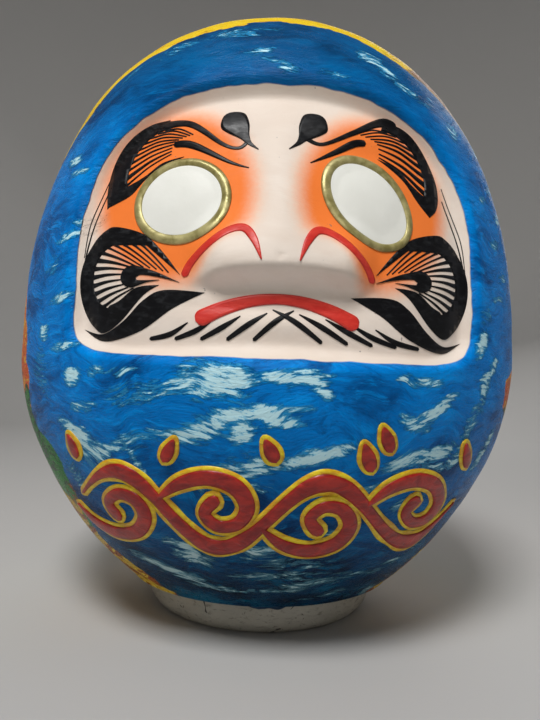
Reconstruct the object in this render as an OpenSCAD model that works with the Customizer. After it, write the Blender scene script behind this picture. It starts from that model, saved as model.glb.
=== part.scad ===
// Daruma doll: a hollow papier-mache body in two halves, pasted together over a clay weight.
// +Z is up and the face looks along -Y. The origin is the middle of the face it stands on.

/* [Body] */
// Radius of the body at its widest
body_r = 132; // [126:1:138]
// Height of the shell's crown
body_h = 312; // [300:1:324]
// Height of the widest ring
waist_z = 130; // [126:1:134]
// Roundness above the widest ring: 2 is an ellipse, more is squarer
upper_power = 2.34; // [2.1:0.02:2.6]
// Roundness below the widest ring
lower_power = 1.74; // [1.66:0.02:1.9]
// How far under the table the lower curve would close
lower_reach = 12; // [8:1:20]
// Thickness of the papier-mache wall
wall = 2.5; // [2:0.1:3.5]

/* [Face] */
// Half width of the sunken face window
window_half_w = 82.5; // [76:0.5:84]
// Height at which the window is widest
window_z = 165; // [160:1:168]
// Reach of the window above that height
window_up = 75; // [68:1:76]
// Reach of the window below that height
window_down = 37.5; // [32:0.5:40]
// Depth to which the face is sunk
face_depth = 8; // [5:0.5:10]
// How far the nose stands off the sunken face
nose_out = 9; // [6:0.5:9]
// Height of the nose tip
nose_z = 164; // [160:1:168]
// Half width of the nose across its wings
nose_half_w = 34; // [28:1:36]
// Distance of each eye from the middle
eye_x = 36.5; // [34:0.5:40]
// Height of the eyes
eye_z = 190; // [186:1:194]
// Radius of each eye
eye_r = 18; // [15:0.5:20]
// How far each eye stands off the sunken face
eye_out = 2.5; // [1:0.5:4]

/* [Seam] */
// Width of the paper strips over the seam between the halves
tape_w = 24; // [16:1:32]
// Thickness of the strips
tape_t = 0.6; // [0.4:0.1:1]

/* [Foot] */
// Height of the joint between body and foot
joint_z = 17.5; // [15:0.5:20]
// Radius of the foot under the joint
foot_top_r = 62.5; // [58:0.5:66]
// Radius of the foot at the table
foot_low_r = 54; // [53:0.5:57]
// Thickness of the paper round the foot
foot_t = 1.5; // [1:0.1:2]
// Radius of the clay plug that stands up into the body
plug_r = 51.5; // [46:0.5:53]
// Height of the plug above the joint
plug_h = 10; // [8:0.5:14]
// Width and height of the glue round the plug
glue_w = 8; // [5:0.5:9]
// Radius of the paper disc under the foot
base_r = 53; // [50:0.5:53]
// Thickness of that disc
base_t = 0.6; // [0.4:0.1:1]

/* [Hidden] */

$fn = 96;
low_rows = 12;
face_rows = 33;
crown_rows = 12;
columns = 44;
// Share of the columns' spread that is even; the rest crowds them towards the face
even_share = 0.55;
rows_low_z = window_z - window_down - 3;
rows_high_z = window_z + window_up + 3;
window_upper_power = 2.6;
window_lower_power = 7.5;
lip_outside = 2;
lip_w = 10;
nose_root_z = 228;
nose_under = 14;
rim_gap = 0.5;
rim_r = plug_r + rim_gap;
lip_r = foot_low_r - 4;
edge_round = 3;
tape_first_row = 3;

function ease(t) = let (c = min(1, max(0, t))) c * c * (3 - 2 * c);

// Half profile of the body: radius at height z
function upper_radius(z) =
    body_r * pow(max(0, 1 - pow((z - waist_z) / (body_h - waist_z), upper_power)), 1 / upper_power);
function lower_radius(z) =
    body_r * pow(1 - pow((waist_z - z) / (waist_z + lower_reach), lower_power), 1 / lower_power);
function body_radius(z) = z >= waist_z ? upper_radius(z) : lower_radius(z);

// Rows of the profile, closer together over the face and towards the crown
row_z = concat(
    [for (i = [0 : low_rows - 1]) joint_z + (rows_low_z - joint_z) * i / low_rows],
    [for (i = [0 : face_rows - 1]) rows_low_z + (rows_high_z - rows_low_z) * i / face_rows],
    [for (i = [0 : crown_rows]) rows_high_z + (body_h - rows_high_z) * sin(90 * i / crown_rows)]);
top_row = len(row_z) - 1;
skin = [for (z = row_z) [body_radius(z), z]];

function row_normal(k) = k == top_row ? [0, 1] :
    let (along = skin[k + 1] - skin[max(0, k - 1)]) [along[1], -along[0]] / norm(along);
function offset_row(k, t) = skin[k] + t * row_normal(k);

// Inside of the wall; its lowest row lies on the turned-in rim
function rim_corner() =
    let (low = offset_row(0, -wall), next = offset_row(1, -wall), z = joint_z + wall)
    [low[0] + (next[0] - low[0]) * (z - low[1]) / (next[1] - low[1]), z];
lining = [for (k = [0 : top_row]) k == 0 ? rim_corner() : offset_row(k, -wall)];

// Distance outside the window's edge at (x, z), less than zero inside it
function window_gap(x, z) =
    let (up = z > window_z, p = up ? window_upper_power : window_lower_power,
        across = abs(x) / window_half_w, along = abs(z - window_z) / (up ? window_up : window_down),
        share = max(0.05, pow(pow(across, p) + pow(along, p), 1 / p)))
    norm([x, z - window_z]) * (1 - 1 / share);

// Nose: a ridge that widens to two wings and is cut back underneath
function nose_height(x, z) =
    let (down = min(1, max(0, (nose_root_z - z) / (nose_root_z - nose_z))),
        ridge = nose_out * pow(down, 1.3) * exp(-pow(x / (8 + 7 * down), 2)),
        wing = 0.75 * nose_out
            * exp(-pow((abs(x) - nose_half_w * 0.55) / 11, 2) - pow((z - nose_z) / 10, 2)),
        edge_z = nose_z - 7 * pow(x / nose_half_w, 2))
    max(ridge, wing) * ease((z - edge_z + nose_under) / nose_under);

function eye_height(x, z) =
    let (away = norm([abs(x) - eye_x, z - eye_z]) / eye_r) eye_out * ease(1.5 - away);

// How far the wall is pressed back along Y at (x, z) on the front
function pressed(x, z) = let (sunk = ease((lip_w - lip_outside - window_gap(x, z)) / lip_w))
    sunk * (face_depth - max(nose_height(x, z), eye_height(x, z)));

module half_section() {
    polygon(concat([[rim_r, joint_z]], skin,
        [for (k = [top_row : -1 : 0]) lining[k]], [[rim_r, joint_z + wall]]));
}

// The same section carried round the front, with the face pressed in
module moulded_front() {
    n = top_row;
    section = concat([[rim_r, joint_z]], [for (k = [0 : n - 1]) skin[k]],
        [for (k = [n - 1 : -1 : 0]) lining[k]], [[rim_r, joint_z + wall]]);
    m = len(section);
    turns = [for (j = [0 : columns]) let (s = 2 * j / columns - 1)
        90 * (even_share * s + (1 - even_share) * s * s * s)];
    points = concat(
        [for (turn = turns, s = [0 : m - 1])
            let (k = s <= n ? s - 1 : 2 * n - s, shell = s > 0 && s < m - 1,
                press = shell ? pressed(skin[k][0] * sin(turn), skin[k][1]) : 0,
                r = section[s][0])
            [r * sin(turn), press - r * cos(turn), section[s][1]]],
        [[0, 0, body_h], [0, 0, body_h - wall]]);
    crown = (columns + 1) * m;
    function at(j, s) = j * m + s % m;
    strips = [for (j = [0 : columns - 1], s = [0 : m - 1], t = [0, 1]) if (s != n)
        t == 0 ? [at(j, s), at(j, s + 1), at(j + 1, s + 1)]
               : [at(j, s), at(j + 1, s + 1), at(j + 1, s)]];
    tops = [for (j = [0 : columns - 1], t = [0, 1])
        t == 0 ? [at(j, n), crown, at(j + 1, n)] : [at(j, n + 1), at(j + 1, n + 1), crown + 1]];
    function cap(j) = concat(
        [[at(j, 0), at(j, m - 1), at(j, 2 * n), at(j, 1)]],
        [for (k = [1 : n - 1]) [at(j, k), at(j, 2 * n + 1 - k), at(j, 2 * n - k), at(j, k + 1)]],
        [[at(j, n), at(j, n + 1), crown + 1, crown]]);
    function turned(faces) = [for (f = faces) [for (i = [len(f) - 1 : -1 : 0]) f[i]]];
    polyhedron(points, concat(strips, tops, cap(0), turned(cap(columns))), convexity = 6);
}

module seam_band(curve_in, curve_out) {
    intersection() {
        rotate_extrude()
            polygon(concat(curve_out, [for (i = [len(curve_in) - 1 : -1 : 0]) curve_in[i]]));
        translate([-body_r - 5, -tape_w / 2, 0]) cube([2 * body_r + 10, tape_w, body_h + 5]);
    }
}

// Outside of the foot: radius at height z, rounded under at the table
function foot_radius(z) =
    foot_low_r + (foot_top_r - foot_low_r) * sqrt(1 - pow(1 - z / joint_z, 2));
foot_z = [for (i = [0 : 8]) base_t + foot_t + (joint_z - base_t - foot_t) * i / 8];

module front_shell() {
    color([0.02, 0.33, 0.66]) moulded_front();
}

module back_shell() {
    color([0.86, 0.55, 0.12]) rotate_extrude(angle = 180) half_section();
}

module seam_tape_outer() {
    color([0.1, 0.4, 0.62])
        seam_band(skin, [for (k = [0 : top_row]) offset_row(k, tape_t)]);
}

module seam_tape_inner() {
    rows = [tape_first_row : top_row];
    color([0.87, 0.83, 0.72])
        seam_band([for (k = rows) offset_row(k, -wall - tape_t)], [for (k = rows) lining[k]]);
}

module clay_weight() {
    color([0.52, 0.44, 0.36]) rotate_extrude() polygon(concat(
        [[0, base_t], [lip_r, base_t], [lip_r, base_t + foot_t]],
        [for (z = foot_z) [foot_radius(z) - foot_t, z]],
        [[plug_r, joint_z], [plug_r, joint_z + plug_h - edge_round],
            [plug_r - edge_round, joint_z + plug_h], [0, joint_z + plug_h]]));
}

module glue_bead() {
    low = joint_z + wall;
    color([0.93, 0.9, 0.8]) rotate_extrude() polygon(concat([[plug_r, low]],
        [for (a = [0 : 15 : 90])
            [plug_r + glue_w * (1 - sin(a)), low + (plug_h - wall - edge_round) * (1 - cos(a))]]));
}

module foot_wrap() {
    color([0.93, 0.91, 0.86]) rotate_extrude() polygon(concat(
        [[lip_r, base_t], [foot_radius(base_t), base_t]],
        [for (z = foot_z) [foot_radius(z), z]],
        [for (i = [len(foot_z) - 1 : -1 : 0]) [foot_radius(foot_z[i]) - foot_t, foot_z[i]]],
        [[lip_r, base_t + foot_t]]));
}

module base_paper() {
    color([0.85, 0.81, 0.72]) cylinder(h = base_t, r = base_r);
}

front_shell();
back_shell();
seam_tape_outer();
seam_tape_inner();
clay_weight();
glue_bead();
foot_wrap();
base_paper();
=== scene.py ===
"""A papier-mache daruma doll, painted by hand, built round its fixed frame."""

import math

import bmesh
import bpy
from mathutils import Matrix, Vector, noise


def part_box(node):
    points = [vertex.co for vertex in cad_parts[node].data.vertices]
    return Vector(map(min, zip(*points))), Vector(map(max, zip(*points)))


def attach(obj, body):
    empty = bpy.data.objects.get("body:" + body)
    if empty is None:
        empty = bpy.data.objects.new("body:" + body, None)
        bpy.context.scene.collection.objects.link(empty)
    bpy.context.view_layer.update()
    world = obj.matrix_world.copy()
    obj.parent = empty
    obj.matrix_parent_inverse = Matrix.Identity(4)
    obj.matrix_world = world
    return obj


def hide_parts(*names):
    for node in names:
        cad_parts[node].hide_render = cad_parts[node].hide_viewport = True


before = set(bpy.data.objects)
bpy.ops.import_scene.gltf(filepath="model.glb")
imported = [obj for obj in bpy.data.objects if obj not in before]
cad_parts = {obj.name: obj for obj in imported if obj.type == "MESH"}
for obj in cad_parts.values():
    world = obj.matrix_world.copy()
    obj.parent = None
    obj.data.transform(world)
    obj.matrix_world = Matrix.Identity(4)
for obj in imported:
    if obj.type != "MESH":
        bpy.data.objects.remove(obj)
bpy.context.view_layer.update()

# --- Camera ----------------------------------------------------------------------------
# The doll is seen from close by, a little to the left of its face and from below the
# middle, so its crown leans away; the camera is held a touch out of level.
MM = 0.001
camera_place = Vector((-9.5, -338.9, 117.0)) * MM
camera_turn = math.radians(1.9)
camera_rise = math.radians(2.7)
camera_lean = math.radians(2.0)
camera_data = bpy.data.cameras.new("camera")
camera_data.sensor_width = 36
camera_data.lens = 29.1
camera_data.clip_start = 0.01
ahead = Vector((math.sin(camera_turn) * math.cos(camera_rise),
                math.cos(camera_turn) * math.cos(camera_rise), math.sin(camera_rise)))
level = Vector((math.cos(camera_turn), -math.sin(camera_turn), 0))
upward = level.cross(ahead)
side = level * math.cos(camera_lean) + upward * math.sin(camera_lean)
over = upward * math.cos(camera_lean) - level * math.sin(camera_lean)
camera = bpy.data.objects.new("camera", camera_data)
facing = Matrix((side, over, -ahead)).transposed().to_4x4()
camera.matrix_world = Matrix.Translation(camera_place) @ facing
bpy.context.scene.collection.objects.link(camera)
bpy.context.scene.camera = camera


# --- Clay weight and its glue ----------------------------------------------------------
# A disc of river clay and paper pulp, pressed in a wooden mould and air dried, keeps the
# doll low and steady. Hide glue holds its plug in the body's turned-in rim.
def shader_node(tree, kind, inputs=None, **settings):
    made = tree.nodes.new("ShaderNode" + kind)
    for key, value in settings.items():
        setattr(made, key, value)
    for key, value in (inputs or {}).items():
        if isinstance(value, bpy.types.NodeSocket):
            tree.links.new(value, made.inputs[key])
        else:
            made.inputs[key].default_value = value
    return made


def new_finish(name, **surface):
    """A material with its Principled shader, ready for patterns."""
    finish = bpy.data.materials.new(name)
    finish.use_nodes = True
    shader = finish.node_tree.nodes["Principled BSDF"]
    for key, value in surface.items():
        shader.inputs[key.replace("_", " ").capitalize()].default_value = value
    return finish, finish.node_tree, shader


def object_place(tree, squeeze=(1, 1, 1), turn=(0, 0, 0)):
    """Object coordinates in metres, squeezed and turned for a pattern's grain."""
    place = shader_node(tree, "TexCoord").outputs["Object"]
    return shader_node(tree, "Mapping", {
        "Vector": place, "Scale": squeeze, "Rotation": turn}).outputs["Vector"]


def cloudiness(tree, place, scale, detail=4.0, roughness=0.55, distortion=0.0):
    return shader_node(tree, "TexNoise", {
        "Vector": place, "Scale": scale, "Detail": detail,
        "Roughness": roughness, "Distortion": distortion}).outputs["Fac"]


def between(tree, value, low, high, out_low=0.0, out_high=1.0):
    """Soft threshold of a value from low to high."""
    return shader_node(tree, "MapRange", {
        "Value": value, "From Min": low, "From Max": high, "To Min": out_low, "To Max": out_high},
        interpolation_type="SMOOTHSTEP").outputs["Result"]


def math_of(tree, operation, first, second=0.0):
    return shader_node(tree, "Math", {0: first, 1: second}, operation=operation).outputs[0]


def blended(tree, share, under, over):
    """Colour under, covered by colour over where share is 1."""
    mix = shader_node(tree, "Mix", {0: share}, data_type="RGBA")
    for socket, colour in ((mix.inputs[6], under), (mix.inputs[7], over)):
        if isinstance(colour, bpy.types.NodeSocket):
            tree.links.new(colour, socket)
        else:
            socket.default_value = (*colour, 1)
    return mix.outputs[2]


def raise_bumps(tree, shader, height, distance, strength=1.0):
    bump = shader_node(tree, "Bump", {"Height": height, "Distance": distance, "Strength": strength})
    tree.links.new(bump.outputs["Normal"], shader.inputs["Normal"])


def dress_node(name, finish):
    """Gives a carried-over node its own finish."""
    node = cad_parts[name]
    node.data.materials.clear()
    node.data.materials.append(finish)


clay, tree, shader = new_finish("dried_clay", roughness=0.92)
grit = cloudiness(tree, object_place(tree), 420, 5)
patch = cloudiness(tree, object_place(tree), 45)
tree.links.new(blended(tree, patch, (0.24, 0.17, 0.11), (0.36, 0.28, 0.2)), shader.inputs["Base Color"])
raise_bumps(tree, shader, grit, 0.0006)
dress_node("clay_weight", clay)

glue, tree, shader = new_finish("hide_glue", roughness=0.35)
pool = cloudiness(tree, object_place(tree), 90)
tree.links.new(blended(tree, pool, (0.55, 0.42, 0.22), (0.78, 0.68, 0.46)), shader.inputs["Base Color"])
raise_bumps(tree, shader, pool, 0.001)
dress_node("glue_bead", glue)

# --- Base paper and inner strip --------------------------------------------------------
# A disc of hand-made paper is pasted under the weight and is what the doll stands on.
# The same paper, torn in a strip, backs the seam on the inside.
bare_paper, tree, shader = new_finish("bare_paper", roughness=0.85)
fibre = cloudiness(tree, object_place(tree, (1, 1, 4), (0.4, 0.3, 0.9)), 300, 6, 0.65, 0.6)
stain = cloudiness(tree, object_place(tree), 30)
paper_tone = blended(tree, stain, (0.58, 0.52, 0.4), (0.74, 0.69, 0.57))
tree.links.new(blended(tree, between(tree, fibre, 0.55, 0.75), paper_tone, (0.5, 0.43, 0.32)),
               shader.inputs["Base Color"])
raise_bumps(tree, shader, fibre, 0.0004)
dress_node("base_paper", bare_paper)
dress_node("seam_tape_inner", bare_paper)

# --- The body's form -------------------------------------------------------------------
# Wet paper is pressed over a wooden mould, dried, slit and lifted off, so the body is a
# thin egg, widest below its middle. The frame gives its height, width and foot joint.
shell_low, shell_high = (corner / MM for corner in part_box("front_shell"))
body_r = shell_high.x
body_h = shell_high.z
joint_z = shell_low.z
waist_z = 130
upper_power = 2.34
lower_power = 1.74
lower_reach = 12
wall = 2.5
rim_inset = 8.9
rim_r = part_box("clay_weight")[1].x / MM - rim_inset
swell_size, swell_height = 46, 0.85
dent_size, dent_height = 15, 0.22
paper_sink = 0.3


def ease(share):
    share = min(1.0, max(0.0, share))
    return share * share * (3 - 2 * share)


def body_radius(z):
    """Radius of the smooth body at height z, in millimetres."""
    if z >= waist_z:
        fall = min(1.0, (z - waist_z) / (body_h - waist_z))
        return body_r * (1 - fall ** upper_power) ** (1 / upper_power)
    fall = (waist_z - z) / (waist_z + lower_reach)
    return body_r * (1 - fall ** lower_power) ** (1 / lower_power)


def outward(place):
    """Direction straight out of the smooth body at a place on it."""
    step = 0.5
    z = min(place.z, body_h - 2 * step)
    slope = (body_radius(z + step) - body_radius(z - step)) / (2 * step)
    flat = Vector((place.x, place.y, 0))
    flat = flat.normalized() if flat.length > 0.01 else Vector((0, 0, 0))
    return (flat - Vector((0, 0, slope))).normalized()


def unevenness(place):
    """Slow swells and small dents left by pasted layers of paper."""
    swells = noise.noise(place / swell_size + Vector((3.1, 0.4, 7.7)))
    dents = noise.noise(place / dent_size + Vector((8.2, 5.1, 0.3)))
    return swell_height * swells + dent_height * dents - paper_sink


# --- The sunken face -------------------------------------------------------------------
# The mould carries a wide window, sunk below the body, with brow ridges, round eyes, a
# broad nose that is cut back underneath, full cheeks and a muzzle.
window_half_w = 82.5
window_z = 165
window_up = 75
window_down = 37.5
face_depth = 8.5
edge_round = 5
edge_slope = 11
features_from = 14
nose_z = 164
nose_half_w = 37
eye_centres = ((-39, 189), (35, 191))


def window_gap(x, z):
    """Millimetres outside the window's edge at (x, z); less than zero inside it."""
    up = z > window_z
    power = 2.6 if up else 7.5
    across = abs(x) / window_half_w
    along = abs(z - window_z) / (window_up if up else window_down)
    share = max(0.05, (across ** power + along ** power) ** (1 / power))
    return math.hypot(x, z - window_z) * (1 - 1 / share)


def hump(x, z, centre_x, centre_z, half_w, half_h):
    return math.exp(-((x - centre_x) / half_w) ** 2 - ((z - centre_z) / half_h) ** 2)


def nose_height(x, z):
    down = min(1.0, max(0.0, (230 - z) / (230 - nose_z)))
    ridge = 9.4 * down ** 1.2 * math.exp(-(x / (8 + 6 * down)) ** 2)
    spread = abs(x - 2) / nose_half_w
    wing = 9 * ease((1.08 - spread) / 0.5) * math.exp(-((z - nose_z) / 13) ** 2)
    edge_z = nose_z - 1 - 6 * spread ** 2
    under = 9.5 - 4 * spread ** 2
    return (ridge + (1 - ridge / 9.7) * wing) * ease((z - edge_z + under) / under)


def face_relief(x, z):
    """Height of the features over the sunken face."""
    away = abs(x)
    nearest = min(math.hypot((x - eye_x) / 18.5, (z - eye_z) / 17.5) for eye_x, eye_z in eye_centres)
    socket = -1.6 * hump(away, z, 36.5, 190, 27, 25)
    eyeball = 3.0 * ease((1.25 - nearest) / 1.1)
    brow = 2.6 * hump(away, z, 36, 221, 26, 8) + 2.0 * hump(away, z, 66, 203, 8, 14)
    cheek = 3.0 * hump(away, z, 62, 157, 17, 17)
    muzzle = 2.6 * hump(x, z, 0, 140, 40, 8) - 3.6 * hump(x, z, 0, 153, 34, 7)
    return max(nose_height(x, z), socket + eyeball + brow + cheek + muzzle)


def pressed(x, z):
    """How far the face is pressed back along Y at (x, z)."""
    gap = window_gap(x, z)
    if gap > edge_round:
        return 0.0
    sunk = ease((edge_round - gap) / edge_slope)
    blend_in = ease(-gap / features_from)
    return sunk * (face_depth - 0.7 * face_relief(x, z) * blend_in - 0.3 * nose_height(x, z) * blend_in)


def moulded(x, z, proud=0.0):
    """The place on the painted front at (x, z), lifted by proud."""
    smooth = Vector((x, -math.sqrt(max(0.0, body_radius(z) ** 2 - x * x)), z))
    lift = unevenness(smooth) + proud
    return smooth + Vector((0, pressed(x, z), 0)) + outward(smooth) * lift


# --- Front and back shells -------------------------------------------------------------
# Two paper halves, each a skin of pasted sheets with its lower edge turned in to sit on
# the weight. Both are coated in chalk and glue, then painted.
corner_h = 1.6


def profile_heights(gaps):
    """Heights up the body, from (top, spacing) stretches."""
    z, heights = joint_z + corner_h, []
    for top, spacing in gaps:
        count = max(1, round((top - z) / spacing))
        heights += [z + (top - z) * i / count for i in range(count)]
        z = top
    crown_rows = 14
    return heights + [z + (body_h - z) * math.sin(math.pi / 2 * i / crown_rows)
                      for i in range(crown_rows + 1)]


def spun_skin(start_deg, sweeps, heights):
    """The outer skin as a surface of revolution; 0 degrees faces forward."""
    skin = bmesh.new()
    corner = body_radius(joint_z + corner_h)
    line = [(rim_r, joint_z), ((rim_r + corner) / 2, joint_z), (corner - 1.9, joint_z),
            (corner - 0.6, joint_z + 0.5)]
    line += [(body_radius(z), z) for z in heights]
    turn = math.radians(start_deg)
    points = [skin.verts.new((r * math.sin(turn), -r * math.cos(turn), z)) for r, z in line]
    edges = [skin.edges.new(pair) for pair in zip(points, points[1:])]
    strip = points + edges
    for sweep_deg, steps in sweeps:
        strip = bmesh.ops.spin(skin, geom=strip, cent=(0, 0, 0), axis=(0, 0, 1), dvec=(0, 0, 0),
                               angle=math.radians(sweep_deg), steps=steps)["geom_last"]
    bmesh.ops.remove_doubles(skin, verts=skin.verts, dist=0.001)
    bmesh.ops.recalc_face_normals(skin, faces=skin.faces)
    return skin


def press_and_roughen(skin, proud=lambda place: 0.0):
    """Presses the face in and gives the skin its hand-pasted unevenness."""
    for vert in skin.verts:
        smooth = vert.co.copy()
        fade = ease((smooth.z - joint_z) / 12)
        press = pressed(smooth.x, smooth.z) if smooth.y < 0 else 0.0
        vert.co += Vector((0, press, 0)) + outward(smooth) * (unevenness(smooth) * fade + proud(smooth))


def finish_piece(shape, name, finishes, replaces=()):
    """Turns a mesh in millimetres into a finished piece in metres that rides on the frame."""
    bmesh.ops.scale(shape, vec=(MM, MM, MM), verts=shape.verts)
    mesh = bpy.data.meshes.new(name)
    shape.to_mesh(mesh)
    shape.free()
    for finish in finishes:
        mesh.materials.append(finish)
    mesh.shade_smooth()
    piece = bpy.data.objects.new(name, mesh)
    bpy.context.scene.collection.objects.link(piece)
    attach(piece, "root")
    if replaces:
        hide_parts(*replaces)
    return piece


def thicken(skin, thickness):
    """Gives the skin its wall, grown inwards."""
    bmesh.ops.recalc_face_normals(skin, faces=skin.faces)
    bmesh.ops.solidify(skin, geom=skin.faces, thickness=thickness)


# --- The painting on the body ----------------------------------------------------------
# Blue acrylic in many streaky coats, navy at the foot, partly deeper paint and partly painted
# shade, with painted shade darkening the crown, and white and pale surf dragged on with a dry brush.
# A warm painting of sky, leaves and gold waves fills the back.
# Each dab: x, z, half length, half height (mm), tilt (degrees) and how much white it holds.
SURF = (
    (-18, 272, 17, 3, 4, 0.35), (-48, 266, 12, 4, 28, 0.3), (-10, 257, 6, 1.6, 10, 0.5),
    (-3, 251, 6, 1.2, -20, 0.55), (3, 246, 5, 1.2, 0, 0.6), (21, 245, 8, 1.2, -8, 0.55),
    (38, 262, 6, 3.4, 10, 0.6), (44, 256, 5, 2, -20, 0.7), (52, 249, 9, 2.2, -30, 0.55),
    (66, 246, 6, 1.6, 40, 0.45), (78, 236, 7, 3, 60, 0.45), (-68, 256, 6, 2, 60, 0.35),
    (-91, 215, 7, 1.8, -8, 0.7), (-86, 207, 8, 1.2, 0, 0.7), (-80, 184, 6, 2.2, 10, 0.9),
    (-87, 178, 9, 1.3, 12, 0.7), (-96, 166, 6, 3, 0, 0.35), (-91, 151, 7, 1.5, 8, 0.65),
    (-99, 137, 4, 2.6, -10, 0.8), (-87, 131, 9, 1.5, 4, 0.8), (-100, 120, 8, 8, 0, 0.3),
    (-81, 119, 5, 2.4, 10, 0.9), (-70, 121, 4, 1.4, 5, 0.6), (-60, 121, 8, 1, 6, 0.5),
    (-52, 113, 14, 3, 8, 0.45), (-76, 107, 7, 1.4, 5, 0.5), (-23, 119, 13, 5, 0, 0.85),
    (7, 121, 11, 1.9, 2, 1.0), (16, 117, 5, 1.4, -35, 0.7), (48, 122, 3, 1.2, 20, 0.7),
    (59, 121, 9, 1.2, 0, 0.8), (66, 111, 9, 2, 30, 1.0), (60, 106, 4, 3, 60, 0.7),
    (53, 105, 6, 1.8, -22, 0.8), (-8, 108, 17, 1.7, 6, 0.9), (-21, 104, 8, 2.6, 22, 0.8),
    (-29, 99, 9, 2.6, 6, 0.9), (-12, 100, 5, 3, 50, 0.8), (0, 105, 9, 1.2, -4, 0.9),
    (-80, 96, 10, 2.6, -20, 1.0), (-74, 88, 12, 4.5, -12, 0.6), (-56, 94, 14, 2, 18, 0.7),
    (-42, 98, 7, 1.2, 12, 0.7), (-53, 87, 6, 1.2, -60, 0.7), (-84, 78, 5, 6, 40, 0.45),
    (-20, 84, 13, 2.6, 30, 0.5), (-6, 87, 12, 2.4, 14, 0.75), (16, 92, 14, 2, 16, 0.85),
    (-10, 78, 9, 2, 10, 0.45), (55, 90, 12, 3, 14, 0.75), (68, 93, 10, 2.6, 10, 0.75),
    (64, 87, 9, 1.4, -6, 0.6), (78, 90, 5, 3, 30, 0.6), (40, 78, 13, 1.7, 6, 0.8),
    (58, 72, 8, 2.6, 12, 0.6), (84, 104, 4, 7, -20, 0.45), (91, 122, 4, 3.4, 20, 0.85),
    (96, 129, 5, 2, 50, 0.8), (88, 138, 3, 5, -30, 0.85), (90, 112, 3, 4, 0, 0.5),
    (97, 92, 3, 9, -30, 0.6), (99, 185, 6, 1.6, 12, 0.7), (93, 205, 6, 1.4, 12, 0.5),
    (101, 214, 7, 2, 18, 0.7), (105, 200, 6, 2, 14, 0.8), (104, 170, 6, 1.6, 10, 0.6),
    (100, 160, 6, 1.4, 10, 0.5), (96, 235, 7, 2.4, 40, 0.5), (90, 150, 5, 3, 30, 0.4),
    (-35, 51, 7, 2.2, -6, 0.75), (-31, 46, 9, 2.6, -14, 0.7), (-44, 37, 17, 1.8, -14, 0.75),
    (-22, 29, 12, 1.3, -8, 0.6), (-3, 50, 8, 3, 4, 0.55), (14, 45, 15, 2, 2, 0.5),
    (4, 38, 18, 1.4, 4, 0.55), (22, 34, 20, 1.6, 8, 0.6), (0, 29, 16, 1.2, 4, 0.4),
    (32, 26, 16, 1.2, 10, 0.4), (60, 42, 13, 1.8, 28, 0.5), (50, 22, 4, 3, 40, 0.6),
    (76, 62, 8, 2, 40, 0.4), (-62, 73, 5, 1.4, 0, 0.5), (28, 60, 5, 3, 20, 0.5),
)
# How far forward the blue reaches (mm in front of the seam), at heights up each side
BLUE_EDGE_LEFT = ((0, 54), (28, 60), (44, 57), (62, 70), (84, 77), (102, 62), (118, 70), (150, 63),
                  (166, 52), (222, 52), (242, 68), (262, 73), (276, 82), (312, 86))
BLUE_EDGE_RIGHT = ((0, 50), (60, 50), (84, 46), (102, 50), (112, 72), (124, 74), (132, 52), (170, 44),
                   (220, 50), (246, 66), (266, 80), (278, 82), (312, 88))


def read_off(steps, z):
    """Straight-line reading between (height, value) steps."""
    for (low, first), (high, last) in zip(steps, steps[1:]):
        if z <= high:
            return first + (last - first) * (z - low) / (high - low)
    return steps[-1][1]


def blue_reach(place):
    """Millimetres inside the blue field; less than zero on the back's painting."""
    share = ease((place.x + 40) / 80)
    edge = (1 - share) * read_off(BLUE_EDGE_LEFT, place.z) + share * read_off(BLUE_EDGE_RIGHT, place.z)
    return -place.y - edge + 3.0 * noise.noise(place / 11) + 1.4 * noise.noise(place / 4)


def surf_load(place):
    """How much white the brush left at a place on the front, 0 to 1."""
    if place.y > 0:
        return 0.0
    load = 0.0
    turn = math.atan2(place.x, -place.y)
    for x, z, half_l, half_h, tilt, white in SURF:
        if abs(place.z - z) > 2 * half_l + 4:
            continue
        radius = body_radius(z)
        across = (turn - math.asin(max(-1.0, min(1.0, x / radius)))) * radius
        along = place.z - z
        lean = math.radians(tilt)
        u = (across * math.cos(lean) + along * math.sin(lean)) / half_l
        v = (along * math.cos(lean) - across * math.sin(lean)) / half_h
        load = max(load, white * ease(1.5 - math.hypot(u / 1.1, v / 1.35)))
    return load


def blush_at(x, z):
    """How much orange was sprayed at (x, z), 0 to 1: round each eye, paler outwards."""
    centre, reach = (-42.5, 32.5) if x < 0 else (38, 31.5)
    spread = math.hypot((x - centre) / reach, (z - 192) / 37)
    off_nose = ease(1.5 * math.hypot((abs(x) - 16) / 15, (z - 157) / 20) - 0.8)
    return ease((1.3 - spread) / 0.66) * off_nose


def mark_paint(mesh):
    """Stores on each corner how far it is inside each painted area."""
    readings = {"window": [], "blue": [], "surf": [], "blush": []}
    for vert in mesh.vertices:
        place = vert.co / MM
        front = place.y < 0
        by_hand = 0.7 * noise.noise(place / 13) + 0.35 * noise.noise(place / 4.5)
        readings["window"].append(by_hand - window_gap(place.x, place.z) if front else -60.0)
        readings["blue"].append(blue_reach(place))
        readings["surf"].append(surf_load(place))
        readings["blush"].append(blush_at(place.x, place.z) if front else 0.0)
    for key, values in readings.items():
        mesh.attributes.new(key, "FLOAT", "POINT").data.foreach_set("value", values)


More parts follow.
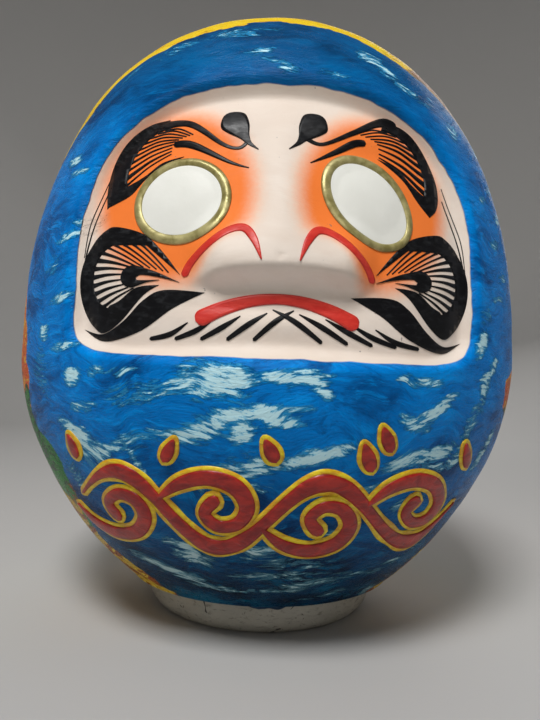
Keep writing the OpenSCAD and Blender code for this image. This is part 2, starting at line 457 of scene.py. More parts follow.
def painted_body():
    finish, tree, shader = new_finish("painted_paper", roughness=0.42)
    shader.inputs["Specular IOR Level"].default_value = 0.08
    reading = {key: shader_node(tree, "Attribute", attribute_name=key).outputs["Fac"]
               for key in ("window", "blue", "surf", "blush")}
    place = object_place(tree)
    split = shader_node(tree, "SeparateXYZ", {0: place}).outputs
    across, height = split["X"], split["Z"]
    # Brush coordinates: long across, short up, bent by slow swirls
    swirl = shader_node(tree, "TexNoise", {"Vector": place, "Scale": 22.0, "Detail": 2.0})
    bent = shader_node(tree, "VectorMath", {0: swirl.outputs["Color"], 1: (0.03, 0.03, 0.03)},
                       operation="MULTIPLY").outputs[0]
    brush_place = shader_node(tree, "VectorMath", {0: place, 1: bent}, operation="ADD").outputs[0]
    broad = shader_node(tree, "Mapping", {"Vector": brush_place, "Scale": (1, 1, 2.2)}).outputs[0]
    along = shader_node(tree, "Mapping", {"Vector": brush_place, "Scale": (1, 1, 3.2)}).outputs[0]
    fine = shader_node(tree, "Mapping", {"Vector": brush_place, "Scale": (1, 1, 5)}).outputs[0]
    washes = cloudiness(tree, broad, 26, 5, 0.6, 0.4)
    strokes = cloudiness(tree, along, 80, 6, 0.66, 0.8)
    bristle = cloudiness(tree, fine, 260, 4, 0.62, 0.3)
    speckle = cloudiness(tree, place, 620, 3, 0.6)
    # Blue coats: navy towards the foot, partly deeper paint and partly painted shade, and painted shade
    # darkening the crown
    navy_and_shade_fade = between(tree, height, 0.02, 0.12)
    crown_shade = between(tree, height, 0.2, 0.262)
    deep = blended(tree, navy_and_shade_fade, (0.0, 0.006, 0.02), (0.0, 0.06, 0.23))
    mid = blended(tree, navy_and_shade_fade, (0.0, 0.027, 0.07), (0.0, 0.2, 0.64))
    light = blended(tree, navy_and_shade_fade, (0.002, 0.1, 0.18), (0.0, 0.32, 0.9))
    coat = blended(tree, between(tree, washes, 0.32, 0.52), deep, mid)
    coat = blended(tree, between(tree, washes, 0.52, 0.7, 0, 0.8), coat, light)
    coat = blended(tree, between(tree, strokes, 0.5, 0.66, 0, 0.7), coat, light)
    coat = blended(tree, between(tree, strokes, 0.46, 0.34, 0, 0.5), coat, deep)
    coat = blended(tree, between(tree, bristle, 0.6, 0.78, 0, 0.3), coat, light)
    # Painted shade: the blue over the crown is darkened towards a deep navy
    coat = blended(tree, math_of(tree, "MULTIPLY", crown_shade, 0.72), coat, (0.0, 0.035, 0.09))
    # Surf: a pale blue drag first, then thick white where the brush was full
    clumps = cloudiness(tree, along, 60, 3, 0.6, 1.0)
    broken = math_of(tree, "MULTIPLY", math_of(tree, "SUBTRACT", clumps, 0.5), 1.6)
    combed = shader_node(tree, "Mapping", {"Vector": brush_place, "Scale": (1, 1, 6.5)}).outputs[0]
    dry = cloudiness(tree, combed, 110, 5, 0.72, 0.2)
    hairy = math_of(tree, "MULTIPLY", math_of(tree, "SUBTRACT", dry, 0.5), 2.9)
    drag = math_of(tree, "ADD", reading["surf"], math_of(tree, "ADD", broken, hairy))
    laid = between(tree, reading["surf"], 0.05, 0.2)
    pale = math_of(tree, "MULTIPLY", laid, between(tree, drag, 0.24, 0.44))
    full = math_of(tree, "MULTIPLY", laid, between(tree, drag, 0.58, 0.64))
    # The surf darkens towards the foot with the same fade as the blue, as painted shade
    coat = blended(tree, math_of(tree, "MULTIPLY", pale, 0.75), coat, blended(
        tree, navy_and_shade_fade, (0.08, 0.22, 0.29), (0.03, 0.36, 0.72)))
    coat = blended(tree, full, coat, blended(
        tree, between(tree, drag, 0.62, 0.9), blended(tree, navy_and_shade_fade, (0.14, 0.34, 0.42), (0.1, 0.5, 0.8)),
        blended(tree, navy_and_shade_fade, (0.42, 0.58, 0.6), (0.58, 0.88, 0.96))))
    # The back: an evening sky with dark clouds, over leaves, over gold waves
    slack = math_of(tree, "MULTIPLY", math_of(tree, "SUBTRACT", washes, 0.5), 0.06)
    wavy = math_of(tree, "ADD", height, slack)
    sky = blended(tree, between(tree, wavy, 0.16, 0.25), (0.88, 0.27, 0.012), (0.92, 0.62, 0.015))
    sky = blended(tree, between(tree, wavy, 0.12, 0.17), (0.7, 0.1, 0.012), sky)
    sky = blended(tree, between(tree, strokes, 0.46, 0.36, 0, 0.45), sky, (0.72, 0.2, 0.012))
    sky = blended(tree, between(tree, strokes, 0.52, 0.66, 0, 0.75), sky, (0.96, 0.76, 0.06))
    sky = blended(tree, between(tree, bristle, 0.58, 0.74, 0, 0.35), sky, (0.98, 0.86, 0.3))
    drift = shader_node(tree, "Mapping", {
        "Vector": brush_place, "Scale": (1, 1, 2.6), "Location": (0.3, 0.1, 0.2)}).outputs[0]
    banks = cloudiness(tree, drift, 17, 4, 0.6, 0.6)
    overcast = math_of(tree, "MULTIPLY", between(tree, across, 0.02, 0.075),
                       between(tree, height, 0.19, 0.24))
    banks = math_of(tree, "ADD", banks, math_of(tree, "MULTIPLY", overcast, 0.17))
    dusk = blended(tree, between(tree, strokes, 0.42, 0.6), (0.07, 0.022, 0.014), (0.34, 0.1, 0.045))
    sky = blended(tree, between(tree, banks, 0.565, 0.63, 0, 0.9), sky, dusk)
    leaf = blended(tree, between(tree, strokes, 0.42, 0.56), (0.004, 0.05, 0.012), (0.02, 0.21, 0.03))
    leaf = blended(tree, between(tree, bristle, 0.56, 0.7), leaf, (0.09, 0.38, 0.06))
    ripple = shader_node(tree, "TexWave", {"Vector": brush_place, "Scale": 26.0, "Distortion": 7.0,
                                           "Detail": 2.0, "Detail Scale": 1.6},
                         wave_type="RINGS", rings_direction="SPHERICAL").outputs["Fac"]
    gold = blended(tree, between(tree, ripple, 0.25, 0.6), (0.3, 0.07, 0.006), (0.62, 0.4, 0.03))
    gold = blended(tree, between(tree, strokes, 0.55, 0.65), gold, (0.85, 0.66, 0.06))
    tufts = math_of(tree, "MULTIPLY", math_of(tree, "SUBTRACT", strokes, 0.5), 0.05)
    tufted = math_of(tree, "ADD", wavy, tufts)
    back = blended(tree, between(tree, tufted, 0.056, 0.059), gold, leaf)
    back = blended(tree, between(tree, tufted, 0.104, 0.107), back, sky)
    # The sunken face: chalk white with orange sprayed round the eyes
    face = blended(tree, between(tree, washes, 0.35, 0.65), (0.82, 0.7, 0.6), (0.865, 0.76, 0.665))
    misty = math_of(tree, "ADD", reading["blush"], between(tree, speckle, 0.2, 0.8, -0.03, 0.03))
    face = blended(tree, between(tree, misty, 0.03, 0.45, 0, 0.5), face, (1.0, 0.5, 0.28))
    face = blended(tree, between(tree, misty, 0.2, 0.85), face, (1.0, 0.235, 0.045))
    pocks = cloudiness(tree, place, 300, 2, 0.6)
    face = blended(tree, between(tree, pocks, 0.73, 0.76, 0, 0.6), face, (0.16, 0.14, 0.15))
    # Join them along hand-painted edges
    ragged = between(tree, bristle, 0.3, 0.7, -0.5, 0.5)
    in_window = between(tree, reading["window"], -0.3, 0.3)
    in_blue = between(tree, math_of(tree, "ADD", reading["blue"], ragged), -0.4, 0.4)
    colour = blended(tree, in_window, blended(tree, in_blue, back, coat), face)
    tree.links.new(colour, shader.inputs["Base Color"])
    # Brush ridges stand up on the body and are almost flat on the face
    ridges = math_of(tree, "ADD", math_of(tree, "MULTIPLY", pale, 0.5),
                     math_of(tree, "MULTIPLY", full, 1.5))
    ridges = math_of(tree, "ADD", ridges, math_of(tree, "MULTIPLY", bristle, 0.45))
    ridges = math_of(tree, "ADD", ridges, math_of(tree, "MULTIPLY", strokes, 0.7))
    still = math_of(tree, "SUBTRACT", 1.0, math_of(tree, "MULTIPLY", in_window, 0.88))
    raise_bumps(tree, shader, math_of(tree, "MULTIPLY", ridges, still), 0.0009)
    gloss = between(tree, bristle, 0.3, 0.7, 0.2, 0.4)
    matt = math_of(tree, "ADD", gloss, math_of(tree, "MULTIPLY", in_window, 0.22))
    tree.links.new(matt, shader.inputs["Roughness"])
    return finish


body_paint = painted_body()
face_gaps = ((122, 2.0), (243, 1.25), (286, 2.0))
back_gaps = ((120, 2.6), (286, 2.6))
FACE_SWEEPS = ((15, 6), (33, 30), (84, 136), (33, 30), (15, 6))
for name, start_deg, sweeps, gaps, slot in (
        ("front_shell", -90, FACE_SWEEPS, face_gaps, "front_paint"),
        ("back_shell", 90, ((180, 110),), back_gaps, "back_paint")):
    skin = spun_skin(start_deg, sweeps, profile_heights(gaps))
    press_and_roughen(skin)
    outer = set(skin.faces)
    thicken(skin, wall)
    for face in skin.faces:
        face.material_index = 0 if face in outer else 1
    shell = finish_piece(skin, "painted_" + name, (body_paint, bare_paper), (name,))
    mark_paint(shell.data)

# --- Seam strip ------------------------------------------------------------------------
# A torn strip of paper pasted over the joint of the halves, painted with them, so it
# shows only as a low ridge over the crown and down both sides.
strip_half_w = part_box("seam_tape_outer")[1].y / MM
strip = spun_skin(-180, ((360, 480),), profile_heights(back_gaps))
bmesh.ops.bisect_plane(strip, geom=strip.verts[:] + strip.edges[:] + strip.faces[:], clear_outer=True,
                       plane_co=(0, strip_half_w, 0), plane_no=(0, 1, 0))
bmesh.ops.bisect_plane(strip, geom=strip.verts[:] + strip.edges[:] + strip.faces[:], clear_outer=True,
                       plane_co=(0, -strip_half_w, 0), plane_no=(0, -1, 0))
bmesh.ops.bisect_plane(strip, geom=strip.verts[:] + strip.edges[:] + strip.faces[:], clear_inner=True,
                       plane_co=(0, 0, joint_z + 1.7), plane_no=(0, 0, 1))
press_and_roughen(strip, proud=lambda place: 0.45 * ease(3 - 3 * abs(place.y) / strip_half_w) - 0.06)
thicken(strip, 0.7)
seam = finish_piece(strip, "painted_seam_strip", (body_paint,), ("seam_tape_outer",))
mark_paint(seam.data)

# --- Foot ------------------------------------------------------------------------------
# A cup of paper pasted up round the weight and coated with thick chalk white, left
# unpainted. It is crinkled where the paper was gathered, and chipped at its edge.
foot_low, foot_high = (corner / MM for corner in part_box("foot_wrap"))
foot_top_r = foot_high.x
foot_low_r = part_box("base_paper")[1].x / MM + 1
foot_t = 1.5


def foot_radius(z):
    return foot_low_r + (foot_top_r - foot_low_r) * math.sqrt(max(0.0, 1 - (1 - z / foot_high.z) ** 2))


cup = bmesh.new()
rows = 22
line = [(foot_low_r - 4, foot_low.z), (foot_low_r - 1.2, foot_low.z)]
line += [(foot_radius(z), z) for z in (
    foot_low.z + (foot_high.z - foot_low.z) * (i / rows) ** 1.4 for i in range(rows + 1))]
points = [cup.verts.new((r, 0, z)) for r, z in line]
edges = [cup.edges.new(pair) for pair in zip(points, points[1:])]
bmesh.ops.spin(cup, geom=points + edges, cent=(0, 0, 0), axis=(0, 0, 1), dvec=(0, 0, 0),
               angle=math.tau, steps=300, use_merge=True)
bmesh.ops.remove_doubles(cup, verts=cup.verts, dist=0.001)
for vert in cup.verts:
    flat = Vector((vert.co.x, vert.co.y, 0)).normalized()
    free = ease((vert.co.z - foot_low.z) / 4) * ease((foot_high.z - vert.co.z) / 1.5)
    crinkle = noise.noise(Vector((vert.co.x / 5, vert.co.y / 5, vert.co.z / 11)))
    crease = 1 - abs(noise.noise(Vector((vert.co.x / 9, vert.co.y / 9, vert.co.z / 3))))
    vert.co += flat * free * (0.45 * crinkle - 0.5 * crease ** 6 + 0.25)
thicken(cup, foot_t)

chalk, tree, shader = new_finish("chalk_white", roughness=0.72)
place = object_place(tree)
mottle = cloudiness(tree, place, 48, 5, 0.6)
pits = cloudiness(tree, object_place(tree, (1, 1, 2.4)), 260, 5, 0.7, 0.5)
chips = cloudiness(tree, place, 130, 3, 0.5, 1.2)
tone = blended(tree, mottle, (0.36, 0.33, 0.26), (0.6, 0.57, 0.49))
tone = blended(tree, between(tree, pits, 0.53, 0.68, 0, 0.75), tone, (0.2, 0.18, 0.14))
tone = blended(tree, between(tree, chips, 0.66, 0.69), tone, (0.07, 0.06, 0.05))
# The body's blue runs unevenly over the foot's upper edge
level = shader_node(tree, "SeparateXYZ", {0: place}).outputs["Z"]
run_down = cloudiness(tree, object_place(tree, (1, 1, 0.4)), 55, 3, 0.6)
edge = math_of(tree, "ADD", level, math_of(tree, "MULTIPLY", run_down, 0.008))
blue_from = (foot_high.z + 1.4) * MM
tone = blended(tree, between(tree, edge, blue_from, blue_from + 0.0003), tone, (0.0, 0.03, 0.08))
tree.links.new(tone, shader.inputs["Base Color"])
coarse = math_of(tree, "ADD", pits, math_of(tree, "MULTIPLY", chips, -0.5))
raise_bumps(tree, shader, coarse, 0.0011)
finish_piece(cup, "chalked_foot", (chalk,), ("foot_wrap",))

# --- Brushwork of the face -------------------------------------------------------------
# Glossy black ink laid over the chalk with a full pointed brush: brows, cheek swirls,
# moustache and beard. Each stroke is a thin film that follows the moulded face.
def smooth_path(points, step):
    """Places along a smooth curve through the points, each with its share of the way."""
    ends = [points[0], *points, points[-1]]
    path = []
    for i in range(len(points) - 1):
        a, b, c, d = (Vector(p) for p in ends[i:i + 4])
        count = max(1, round((c - b).length / step))
        for k in range(count):
            t = k / count
            spot = 0.5 * (2 * b + (c - a) * t + (2 * a - 5 * b + 4 * c - d) * t ** 2
                          + (3 * b - a - 3 * c + d) * t ** 3)
            path.append(spot)
    path.append(Vector(points[-1]))
    return path


def tilted(centre, along, across, lean_deg):
    """The place at (along, across) from a centre, in axes turned by lean_deg."""
    lean = math.radians(lean_deg)
    return (centre[0] + along * math.cos(lean) - across * math.sin(lean),
            centre[1] + along * math.sin(lean) + across * math.cos(lean))


def arc(centre, radii, from_deg, to_deg, lean_deg=0):
    """Places along part of an ellipse."""
    parts = max(2, round(abs(to_deg - from_deg) / 18))
    turns = [math.radians(from_deg + (to_deg - from_deg) * i / parts) for i in range(parts + 1)]
    return [tilted(centre, radii[0] * math.cos(turn), radii[1] * math.sin(turn), lean_deg)
            for turn in turns]


def on_side(side, points, middle=0, raised=0):
    """Points drawn for the doll's +X side (side 1), or mirrored about middle (side -1)."""
    return [(middle + side * x, z + raised, *width) for x, z, *width in points]


def brush_stroke(film, path, proud=0.2, swell=0.0, across=4, step=1.0, round_ends=(True, False),
                 closed=False, lift=moulded):
    """A stroke through (x, z, width) points, laid on the face; swell rounds its back."""
    spots = smooth_path(path, step)
    rows = len(spots) - 1
    centres = [Vector((s.x, s.y)) for s in spots]
    widths = [max(0.05, s.z) for s in spots]
    lengths = [0.0]
    for first, last in zip(centres, centres[1:]):
        lengths.append(lengths[-1] + (last - first).length)
    for i, way in enumerate(lengths):
        for ended, gap in ((round_ends[0], way), (round_ends[1], lengths[-1] - way)):
            cap = max(0.3, widths[i] / 2)
            if ended and gap < cap and not closed:
                widths[i] *= math.sqrt(max(0.0, 1 - (1 - gap / cap) ** 2))
    made = bmesh.ops.create_grid(film, x_segments=rows, y_segments=across, size=0.5)["verts"]
    for vert in made:
        i = round((vert.co.x + 0.5) * rows)
        v = vert.co.y
        before, after = centres[max(0, i - 1)], centres[min(rows, i + 1)]
        if closed and i in (0, rows):
            before, after = centres[rows - 1], centres[1]
        run = (after - before).normalized()
        spot = centres[i] + Vector((-run.y, run.x)) * v * widths[i]
        vert.co = lift(spot.x, spot.y, proud + swell * (1 - 4 * v * v))
    bmesh.ops.remove_doubles(film, verts=made, dist=0.01)


def paint_patch(film, stretches, proud=0.2, grain=2.4, lift=moulded):
    """A filled area inside smooth stretches of outline that meet in corners."""
    outline = []
    for stretch in stretches:
        outline += smooth_path([(x, z, 0) for x, z in stretch], 1.2)[:-1]
    patch = bmesh.new()
    corners = [patch.verts.new((p.x, 0, p.y)) for p in outline]
    edges = [patch.edges.new(pair) for pair in zip(corners, corners[1:] + corners[:1])]
    bmesh.ops.triangle_fill(patch, use_beauty=True, use_dissolve=False, edges=edges)
    xs, zs = [p.x for p in outline], [p.y for p in outline]
    for axis, low, high in ((Vector((1, 0, 0)), min(xs), max(xs)), (Vector((0, 0, 1)), min(zs), max(zs))):
        for i in range(1, int((high - low) / grain) + 1):
            bmesh.ops.bisect_plane(patch, geom=patch.verts[:] + patch.edges[:] + patch.faces[:],
                                   plane_co=axis * (low + i * grain), plane_no=axis)
    bmesh.ops.triangulate(patch, faces=patch.faces)
    for vert in patch.verts:
        vert.co = lift(vert.co.x, vert.co.z, proud)
    bmesh.ops.remove_doubles(patch, verts=patch.verts, dist=0.01)
    sheet = bpy.data.meshes.new("patch")
    patch.to_mesh(sheet)
    patch.free()
    film.from_mesh(sheet)
    bpy.data.meshes.remove(sheet)


def film_thickness(film, thickness=0.4):
    """Gives the laid strokes their thin body, sunk into the ground under them."""
    for face in film.faces:
        if face.normal.dot(outward(face.calc_center_median())) < 0:
            face.normal_flip()
    bmesh.ops.solidify(film, geom=film.faces, thickness=thickness)


ink, tree, shader = new_finish("brush_ink", roughness=0.34)
shader.inputs["Specular IOR Level"].default_value = 0.16
drag = cloudiness(tree, object_place(tree, (1, 1, 2.2)), 240, 5, 0.6, 0.5)
ink_tone = blended(tree, between(tree, drag, 0.45, 0.75), (0.005, 0.005, 0.006), (0.018, 0.019, 0.021))
tree.links.new(ink_tone, shader.inputs["Base Color"])
tree.links.new(between(tree, drag, 0.3, 0.75, 0.3, 0.52), shader.inputs["Roughness"])
raise_bumps(tree, shader, drag, 0.00006)


def comb(film, roots, tips, count, bow, slit):
    """Fine hairs side by side, from a curve of roots to a curve of tips, with slits between."""
    ends = []
    for curve in (roots, tips):
        fine = smooth_path([(x, z, 0) for x, z in curve], 0.3)
        ends.append([fine[round(i * (len(fine) - 1) / count)].to_2d() for i in range(count + 1)])
    for (root, next_root), (tip, next_tip) in zip(zip(ends[0], ends[0][1:]), zip(ends[1], ends[1][1:])):
        start, end = (root + next_root) / 2, (tip + next_tip) / 2
        run = (end - start).normalized()
        root_w = max(0.9, abs((next_root - root).cross(run)) - slit)
        tip_w = max(0.5, abs((next_tip - tip).cross(run)) - slit)
        middle = (start + end) / 2 + Vector((0, bow))
        hair = ((*(start - 0.6 * run), root_w + 0.7), (*(start + 1.0 * run), root_w),
                (*middle, 0.5 * (root_w + tip_w)), (*(end + 0.5 * run), tip_w))
        brush_stroke(film, hair, proud=0.16, across=2, round_ends=(False, False))


brows = {
    "left": dict(
        outer=arc((-46, 196), (26, 31), 194, 90),
        roots=arc((-46, 199), (17, 23), 90, 186),
        band=((-63, 197), (-55, 201), (-48, 206), (-39, 208)),
        lower=((-39, 208), (-53, 201), (-61, 193), (-71, 189)),
        tips=((-36, 218), (-44, 215), (-45, 209)),
        tail=((-50, 224, 4.5), (-38, 223, 3), (-24, 213, 1.6), (-17, 211, 1.3), (-13, 215, 1.6)),
        fold=((-44, 214, 2.5), (-36, 213, 3), (-21, 205, 1.4), (-13, 202, 0.3)),
        hairs=10),
    "right": dict(
        outer=arc((52, 209), (22, 13), 0, 180, lean_deg=-60),
        roots=arc((41, 203), (20, 22), 90, -12),
        band=((60, 199), (54, 203), (48, 208), (39, 211)),
        lower=((39, 211), (50, 204), (57, 196), (63, 190)),
        tips=((30, 221), (39, 218), (40, 211)),
        tail=((48, 227, 5), (41, 229, 4), (29, 221, 2.3), (16, 214, 1.4), (9, 216, 2)),
        fold=((34, 217, 2.5), (29, 216, 3), (21, 211, 2.2), (11, 205, 0.3)),
        hairs=9),
}
for name, brow in brows.items():
    film = bmesh.new()
    paint_patch(film, [brow[key] for key in ("outer", "roots", "band", "lower")], proud=0.2)
    brush_stroke(film, brow["tail"], proud=0.22, round_ends=(True, True))
    brush_stroke(film, brow["fold"], proud=0.24, across=3)
    comb(film, brow["roots"], brow["tips"], brow["hairs"], bow=1.2, slit=1.7)
    film_thickness(film)
    finish_piece(film, "ink_brow_" + name, (ink,))

# The two round heads beside the bridge, each with a fine beak
head = ((19.5, 227, 7), (17, 224, 12), (14, 220, 9.5), (11.5, 216, 4), (9.5, 213, 1.7), (6, 210, 0.3))
for name, side in (("left", -1), ("right", 1)):
    film = bmesh.new()
    brush_stroke(film, on_side(side, head, middle=-3.5), proud=0.26, across=8, step=0.7)
    film_thickness(film)
    finish_piece(film, "ink_head_" + name, (ink,))

# Cheek swirls: a heavy hook outside, a comma inside, and hairs combed from one to the other
hook = [(38, 159), (46, 169), (54, 176), *arc((66, 158), (15, 22), 90, -80),
        (61, 141), (52, 151), (46, 155)]
hook_under = [(46, 155), (55, 154), (62, 149), (67, 147)]
hook_roots = [*arc((65, 159), (10, 13), -78, 90), (52, 171)]
hook_tail = [(52, 171), (45, 165), (38, 159)]
hair_tips = [*arc((57, 158), (5, 4.5), -110, 90), (50, 162), (42, 160)]
comma = [(38, 156), (47, 160), *arc((57, 158.5), (5, 4.5), 100, -90), (51, 156), (46, 157)]
comma_slit = [(46, 157), (55, 157), (54, 159), (46, 158), (38, 156)]
for name, side, raised in (("left", -1, 0), ("right", 1, 2.5)):
    film = bmesh.new()
    hook_edge = (hook, hook_under, hook_roots, hook_tail)
    paint_patch(film, [on_side(side, line, raised=raised) for line in hook_edge])
    paint_patch(film, [on_side(side, line, raised=raised) for line in (comma, comma_slit)],
                proud=0.32, grain=1.8)
    comb(film, on_side(side, hook_roots, raised=raised), on_side(side, hair_tips, raised=raised),
         13, bow=0.3, slit=1.8)
    film_thickness(film)
    finish_piece(film, "ink_cheek_" + name, (ink,))

# Moustache leaves with drawn-out tails
leaf_top = ((28, 152), (44, 153), (52, 149), (60, 141), (69, 136), (78, 138))
leaf_foot = ((78, 138), (68, 133), (53, 137), (40, 146), (28, 152))
for name, side in (("left", -1), ("right", 1)):
    film = bmesh.new()
    paint_patch(film, [on_side(side, leaf_top), on_side(side, leaf_foot)], proud=0.22)
    film_thickness(film)
    finish_piece(film, "ink_moustache_" + name, (ink,))

# Beard: short strokes pulled down and out from under the mouth
film = bmesh.new()
hairs_a_side, hair_pitch, hair_fall = 5, 10, 1.4
beard_top, beard_foot = 146, 134
for side, first_x, reach in ((-1, 6, 15), (1, -2, 19)):
    for i in range(hairs_a_side):
        x, z = first_x + side * hair_pitch * i, beard_top - hair_fall * i
        hair = ((x, z, 0.4), (x + 0.45 * side * reach, z - 4.5, 2.1),
                (x + side * reach, beard_foot, 1.5))
        brush_stroke(film, hair, proud=0.2 + 0.02 * (i % 2), across=3, round_ends=(False, True))
film_thickness(film)
finish_piece(film, "ink_beard", (ink,))

# Hairlines that edge the chalk just inside the window
film = bmesh.new()
for side in (-1, 1):
    for line in (((80, 158, 0.5), (79, 171, 0.6), (76, 184, 0.5), (70, 199, 0.4)),
                 ((80, 168, 0.3), (78, 184, 0.4), (70, 205, 0.3))):
        brush_stroke(film, on_side(side, line), proud=0.2, across=1, round_ends=(False, False))
film_thickness(film, 0.3)
finish_piece(film, "ink_hairlines", (ink,))

# --- Red strokes of nose and mouth -----------------------------------------------------
# Vermilion laid wet over the chalk: an arch over each nostril and one long drooping
# mouth with heavy ends.
vermilion, tree, shader = new_finish("vermilion", roughness=0.4)
drag = cloudiness(tree, object_place(tree, (1, 1, 3)), 180, 5, 0.6, 0.5)
tree.links.new(blended(tree, between(tree, drag, 0.3, 0.75), (0.62, 0.022, 0.014), (0.74, 0.05, 0.03)),
               shader.inputs["Base Color"])
raise_bumps(tree, shader, drag, 0.00018)
nostril = ((36.5, 158, 3), (34, 163, 3), (28, 169, 2.8), (20, 175, 3), (14, 176, 3.3),
           (10, 171, 2.8), (7, 163, 0.5))
mouth_half_w, mouth_z, mouth_droop, mouth_steps = 31, 150, 9, 8
mouth = []
for i in range(mouth_steps + 1):
    share = 2 * i / mouth_steps - 1
    mouth.append((mouth_half_w * share, mouth_z - mouth_droop * share ** 2, 4 + 2.8 * abs(share) ** 1.5))
for name, stroke in (("nostril_left", on_side(-1, nostril)), ("nostril_right", on_side(1, nostril)),
                     ("mouth", mouth)):
    film = bmesh.new()
    brush_stroke(film, stroke, proud=0.28, swell=0.12, across=5, round_ends=(True, name == "mouth"))
    film_thickness(film, 0.6)
    finish_piece(film, "red_" + name, (vermilion,))

# --- Eyes ------------------------------------------------------------------------------
# Blank eyes, left white for their owner to fill in: a disc of glossy white, and round it
# a raised ring of brass-gold paint, worn thin in places.
eye_white, tree, shader = new_finish("eye_white", roughness=0.5)
shader.inputs["Specular IOR Level"].default_value = 0.25
haze = cloudiness(tree, object_place(tree), 70, 4)
tree.links.new(blended(tree, haze, (0.8, 0.8, 0.73), (0.89, 0.89, 0.83)), shader.inputs["Base Color"])
raise_bumps(tree, shader, haze, 0.0003)
gold_paint, tree, shader = new_finish("gold_paint", roughness=0.45, metallic=0.3)
rub = cloudiness(tree, object_place(tree), 170, 5, 0.6, 0.4)
tree.links.new(blended(tree, between(tree, rub, 0.35, 0.7), (0.27, 0.23, 0.07), (0.5, 0.44, 0.19)),
               shader.inputs["Base Color"])
tree.links.new(between(tree, rub, 0.3, 0.7, 0.3, 0.48), shader.inputs["Roughness"])
raise_bumps(tree, shader, rub, 0.00035)


ring_parts = 48
disc_rows = 24
for name, centre, long_r, short_r, lean_deg, ring_w, heavy_at in (
        ("left", eye_centres[0], 17, 15, 15, (3.4, 4.1), 0.9),
        ("right", eye_centres[1], 19.5, 13.5, -45, (3.2, 4), 3.6)):
    film = bmesh.new()
    disc = []
    for i in range(disc_rows + 1):
        share = 2 * i / disc_rows - 1
        disc.append((*tilted(centre, long_r * share, 0, lean_deg),
                     2 * short_r * math.sqrt(max(0.0, 1 - share * share))))
    brush_stroke(film, disc, proud=0.3, across=24, step=1.2, round_ends=(False, False))
    film_thickness(film, 0.5)
    finish_piece(film, "eye_white_" + name, (eye_white,))
    film = bmesh.new()
    ring = []
    for i in range(ring_parts + 1):
        angle = math.tau * i / ring_parts
        heavy = 0.5 + 0.5 * math.cos(angle + math.radians(lean_deg) + heavy_at)
        width = ring_w[0] + (ring_w[1] - ring_w[0]) * heavy
        ring.append((*tilted(centre, (long_r + 1) * math.cos(angle),
                             (short_r + 1.2) * math.sin(angle), lean_deg), width))
    brush_stroke(film, ring, proud=0.25, swell=0.8, across=8, closed=True)
    film_thickness(film, 0.6)
    finish_piece(film, "eye_ring_" + name, (gold_paint,))

# --- Ornament on the belly -------------------------------------------------------------
# A running vine scroll with buds in thick red, outlined in yellow first. It is laid on
# last, heavier than anything under it.
outline_yellow, tree, shader = new_finish("outline_yellow", roughness=0.36)
drag = cloudiness(tree, object_place(tree, (1, 1, 2)), 160, 5, 0.6, 0.5)
tree.links.new(blended(tree, between(tree, drag, 0.35, 0.7), (0.66, 0.34, 0.008), (0.88, 0.7, 0.02)),
               shader.inputs["Base Color"])
raise_bumps(tree, shader, drag, 0.0005)
thick_red, tree, shader = new_finish("thick_red", roughness=0.34)
drag = cloudiness(tree, object_place(tree, (1, 1, 2), (0, 0.5, 0)), 130, 5, 0.6, 0.6)
tree.links.new(blended(tree, between(tree, drag, 0.3, 0.75), (0.22, 0.004, 0.004), (0.52, 0.024, 0.012)),
               shader.inputs["Base Color"])
raise_bumps(tree, shader, drag, 0.0006)


bay_w = 41
vine_z = 67
vine_rise = 15
vine_from, vine_to, vine_steps = -80, 84, 33
first_bay, vine_w = -61, 6.0
vine = []
for i in range(vine_steps + 1):
    x = vine_from + (vine_to - vine_from) * i / vine_steps
    thin = min(1.0, 0.25 + i / 6, 0.15 + (vine_steps - i) / 5)
    swelling = 1 + 0.18 * math.cos(math.tau * (x - first_bay) / bay_w)
    rise = vine_rise * math.cos(math.pi * (x - first_bay) / bay_w)
    vine.append((x, vine_z + rise, vine_w * thin * swelling))
strokes = [vine]
# Each bay holds one tendril, which curls in from the stem and ends in a round bud
TENDRIL = ((-24, -5, 1.5), (-15, -12, 5), (-4, -15, 6.4), (6.5, -12, 6.6), (11.2, -4, 6), (7.6, 3.4, 5.4),
           (0, 5, 5), (-5.2, 0.2, 4.8), (-2.4, -5, 5.4), (0.8, -5.4, 5.6))
for bay in range(4):
    flip = 1 if bay % 2 == 0 else -1
    middle = bay_w * bay + first_bay
    strokes.append([(middle + x, vine_z + flip * z, w) for x, z, w in TENDRIL])
for x, z, length, width, lean_deg in (
        (-82, 90, 11, 4.6, 112), (-39, 92, 10, 5, 66), (-1, 94, 10, 5, 118),
        (36, 92, 12, 5.4, 112), (43, 99, 11, 5.2, 116), (84, 91, 12, 5, 108)):
    run = Vector((math.cos(math.radians(lean_deg)), math.sin(math.radians(lean_deg)))) * length / 2
    strokes.append([(x - run.x, z - run.y, width * 0.8), (x, z, width),
                    (x + run.x, z + run.y, width * 0.25)])
wide, slim = bmesh.new(), bmesh.new()
for i, stroke in enumerate(strokes):
    stroke = [(x, z, w * (1 + 0.16 * noise.noise(Vector((x / 6, z / 6, i + 9))))) for x, z, w in stroke]
    wobble = [w + 3.3 + 1.7 * noise.noise(Vector((x / 7, z / 7, i))) for x, z, w in stroke]
    edge = [(x, z, w) for (x, z, _), w in zip(stroke, wobble)]
    first, last = Vector(stroke[0][:2]), Vector(stroke[-1][:2])
    edge.insert(0, (*(first + (first - Vector(stroke[1][:2])).normalized() * 1.6), wobble[0] * 0.8))
    edge.append((*(last + (last - Vector(stroke[-2][:2])).normalized() * 1.6), wobble[-1] * 0.8))
    brush_stroke(wide, edge, proud=0.2 + 0.02 * i, swell=0.35, across=6, round_ends=(True, True))
    brush_stroke(slim, stroke, proud=0.75 + 0.02 * i, swell=0.4, across=5, round_ends=(True, True))
film_thickness(wide, 0.7)
film_thickness(slim, 1.0)
finish_piece(wide, "scroll_outlines", (outline_yellow,))
finish_piece(slim, "scroll_strokes", (thick_red,))

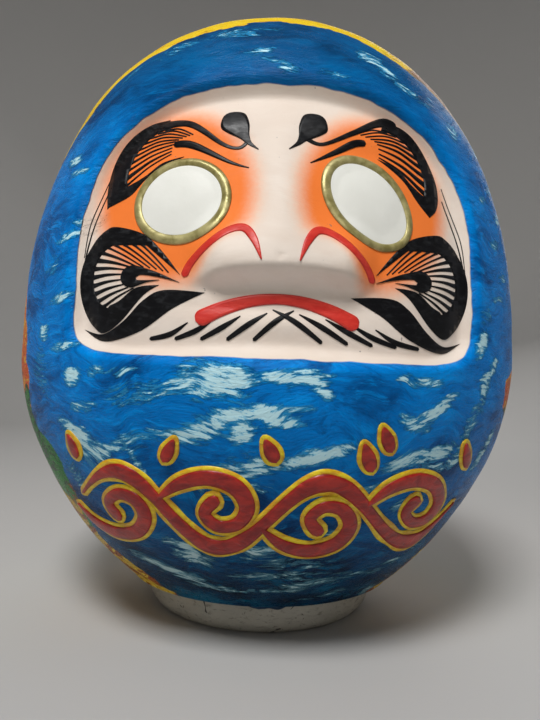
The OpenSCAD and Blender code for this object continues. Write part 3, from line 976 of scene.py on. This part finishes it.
# --- Table and studio light ------------------------------------------------------------
# A plain pale floor that sweeps up all round, one soft light above and in front of the
# doll, and two weaker fills.
floor_r, bend_r, wall_top, bend_steps = 1.3, 0.6, 1.8, 16
sweep = bmesh.new()
line = [(0, 0)]
line += [(floor_r + bend_r * math.sin(math.pi / 2 * i / bend_steps),
          bend_r - bend_r * math.cos(math.pi / 2 * i / bend_steps)) for i in range(bend_steps + 1)]
line.append((floor_r + bend_r, wall_top))
points = [sweep.verts.new((r, 0, z)) for r, z in line]
edges = [sweep.edges.new(pair) for pair in zip(points, points[1:])]
bmesh.ops.spin(sweep, geom=points + edges, cent=(0, 0, 0), axis=(0, 0, 1), dvec=(0, 0, 0),
               angle=math.tau, steps=96, use_merge=True)
bmesh.ops.remove_doubles(sweep, verts=sweep.verts, dist=0.0001)
for face in sweep.faces:
    face.smooth = True
floor_mesh = bpy.data.meshes.new("floor")
sweep.to_mesh(floor_mesh)
sweep.free()
floor = bpy.data.objects.new("floor", floor_mesh)
bpy.context.scene.collection.objects.link(floor)
pale, tree, shader = new_finish("pale_floor", roughness=0.8)
shader.inputs["Base Color"].default_value = (0.55, 0.54, 0.525, 1)
floor_mesh.materials.append(pale)


def soft_light(name, place, aim, size, power):
    lamp = bpy.data.lights.new(name, "AREA")
    lamp.shape = "RECTANGLE"
    lamp.size, lamp.size_y = size
    lamp.energy = power
    holder = bpy.data.objects.new(name, lamp)
    holder.location = place
    holder.rotation_euler = (Vector(aim) - Vector(place)).to_track_quat("-Z", "Y").to_euler()
    bpy.context.scene.collection.objects.link(holder)


soft_light("overhead", place=(-0.22, -0.8, 1.2), aim=(0, 0, 0.16), size=(0.36, 0.36), power=15)
soft_light("front_fill", place=(-0.6, -1.5, 0.45), aim=(0, 0, 0.15), size=(1.2, 1.0), power=0.3)
soft_light("back_fill", place=(0.4, 1.4, 0.9), aim=(0, 0, 0.15), size=(1.2, 1.0), power=6)
world = bpy.data.worlds.new("studio")
world.use_nodes = True
world.node_tree.nodes["Background"].inputs["Color"].default_value = (0.9, 0.9, 0.9, 1)
world.node_tree.nodes["Background"].inputs["Strength"].default_value = 0.09
bpy.context.scene.world = world
bpy.context.scene.view_settings.view_transform = "Standard"
